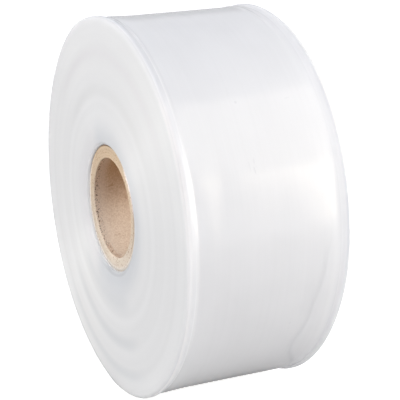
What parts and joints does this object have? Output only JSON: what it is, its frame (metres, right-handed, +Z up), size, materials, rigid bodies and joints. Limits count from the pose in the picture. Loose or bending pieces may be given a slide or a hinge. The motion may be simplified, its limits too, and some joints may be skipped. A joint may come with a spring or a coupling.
{
  "type": "roll of poly tubing",
  "caption": "Wide-diameter roll of clear layflat polythene tubing wound on a thick paper core, with slightly raised rims, lying on its side.",
  "frame": {"origin": "centre of the core's bore, halfway between the two end faces", "axes": "+Z up, +Y along the core's axis from the front end face to the back one, +X across the roll; the roll lies on its side, on the flattened underside of its two rims"},
  "size_m": [0.29, 0.125, 0.2888],
  "materials": {
    "poly_film": "milky-clear polyethylene film wound tight, glossy on its face and satin on its stacked edges",
    "core_paper": "uncoated spiral-wound kraft paper, cut square at the ends"
  },
  "bodies": {
    "root": {"wound_tubing": "poly_film", "core_tube": "core_paper"}
  },
  "joints": []
}
